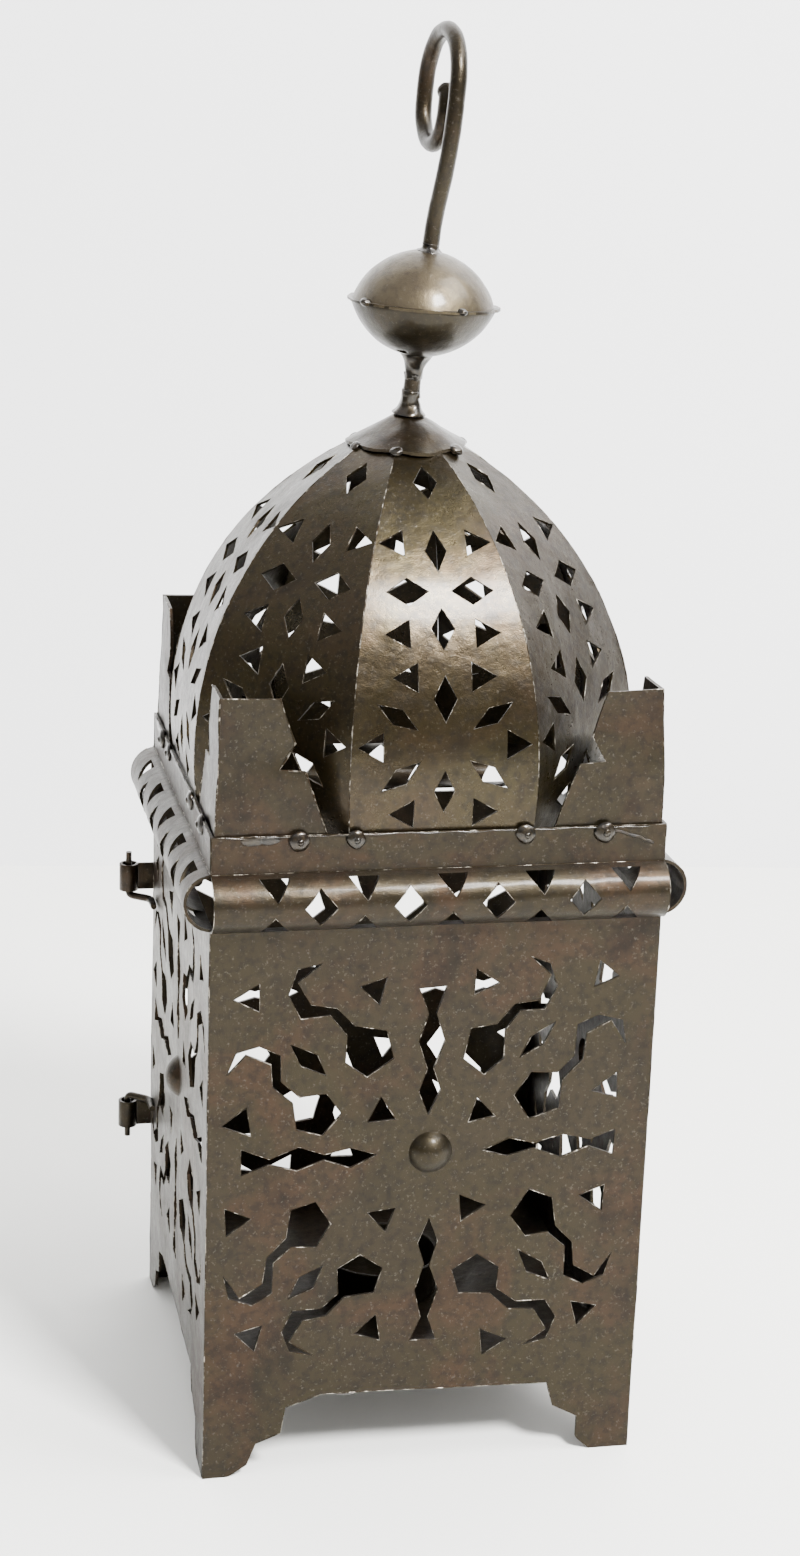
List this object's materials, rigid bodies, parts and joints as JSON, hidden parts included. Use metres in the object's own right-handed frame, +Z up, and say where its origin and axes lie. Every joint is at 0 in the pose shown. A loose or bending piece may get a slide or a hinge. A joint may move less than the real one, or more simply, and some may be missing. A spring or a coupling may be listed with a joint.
{
  "type": "tealight lantern",
  "caption": "Square pierced sheet-metal tealight lantern with bracket feet, corner merlons, a faceted pierced dome, a ball finial, a hanging hook and a hinged rear door.",
  "frame": {"origin": "middle of the square footprint, on the surface the four feet stand on", "axes": "the front wall faces -Y, +X is to the right seen from the front, +Z is up"},
  "size_m": [0.1711, 0.1672, 0.4782],
  "materials": {
    "bronze_paint": "satin dark bronze-brown paint over hand-cut sheet, with rust-red patches and brighter burrs at the cuts",
    "dark_bronze_paint": "satin dark bronze-brown paint over wire, bar and weld"
  },
  "bodies": {
    "lantern": {"front_panel": "bronze_paint", "left_panel": "bronze_paint", "right_panel": "bronze_paint", "rear_band": "bronze_paint", "rear_sill": "bronze_paint", "hinge_pins": "dark_bronze_paint", "latch_rivet": "dark_bronze_paint", "floor_plate": "bronze_paint", "candle_cup": "bronze_paint", "merlon_front_left": "bronze_paint", "merlon_front_right": "bronze_paint", "merlon_rear_right": "bronze_paint", "merlon_rear_left": "bronze_paint", "gore_front": "bronze_paint", "gore_front_right": "bronze_paint", "gore_right": "bronze_paint", "gore_rear_right": "bronze_paint", "gore_rear": "bronze_paint", "gore_rear_left": "bronze_paint", "gore_left": "bronze_paint", "gore_front_left": "bronze_paint", "dome_cap": "bronze_paint", "ball_lower_bowl": "bronze_paint", "ball_upper_bowl": "bronze_paint", "hook": "dark_bronze_paint", "stem_welds": "dark_bronze_paint", "rim_welds": "dark_bronze_paint", "floor_welds": "dark_bronze_paint"},
    "door": {"door": "bronze_paint", "hinge_straps": "dark_bronze_paint"},
    "latch": {"latch_button": "dark_bronze_paint"}
  },
  "joints": [
    {"name": "door_hinge", "type": "hinge", "parent": "lantern", "child": "door", "pos_m": [-0.084, 0.0758, 0.1179], "axis": [0, 0, 1], "range_deg": [0, 265]},
    {"name": "latch_turn", "type": "hinge", "parent": "lantern", "child": "latch", "pos_m": [0.056, 0.0761, 0.0328], "axis": [0, 1, 0], "range_deg": [0, 90]}
  ]
}
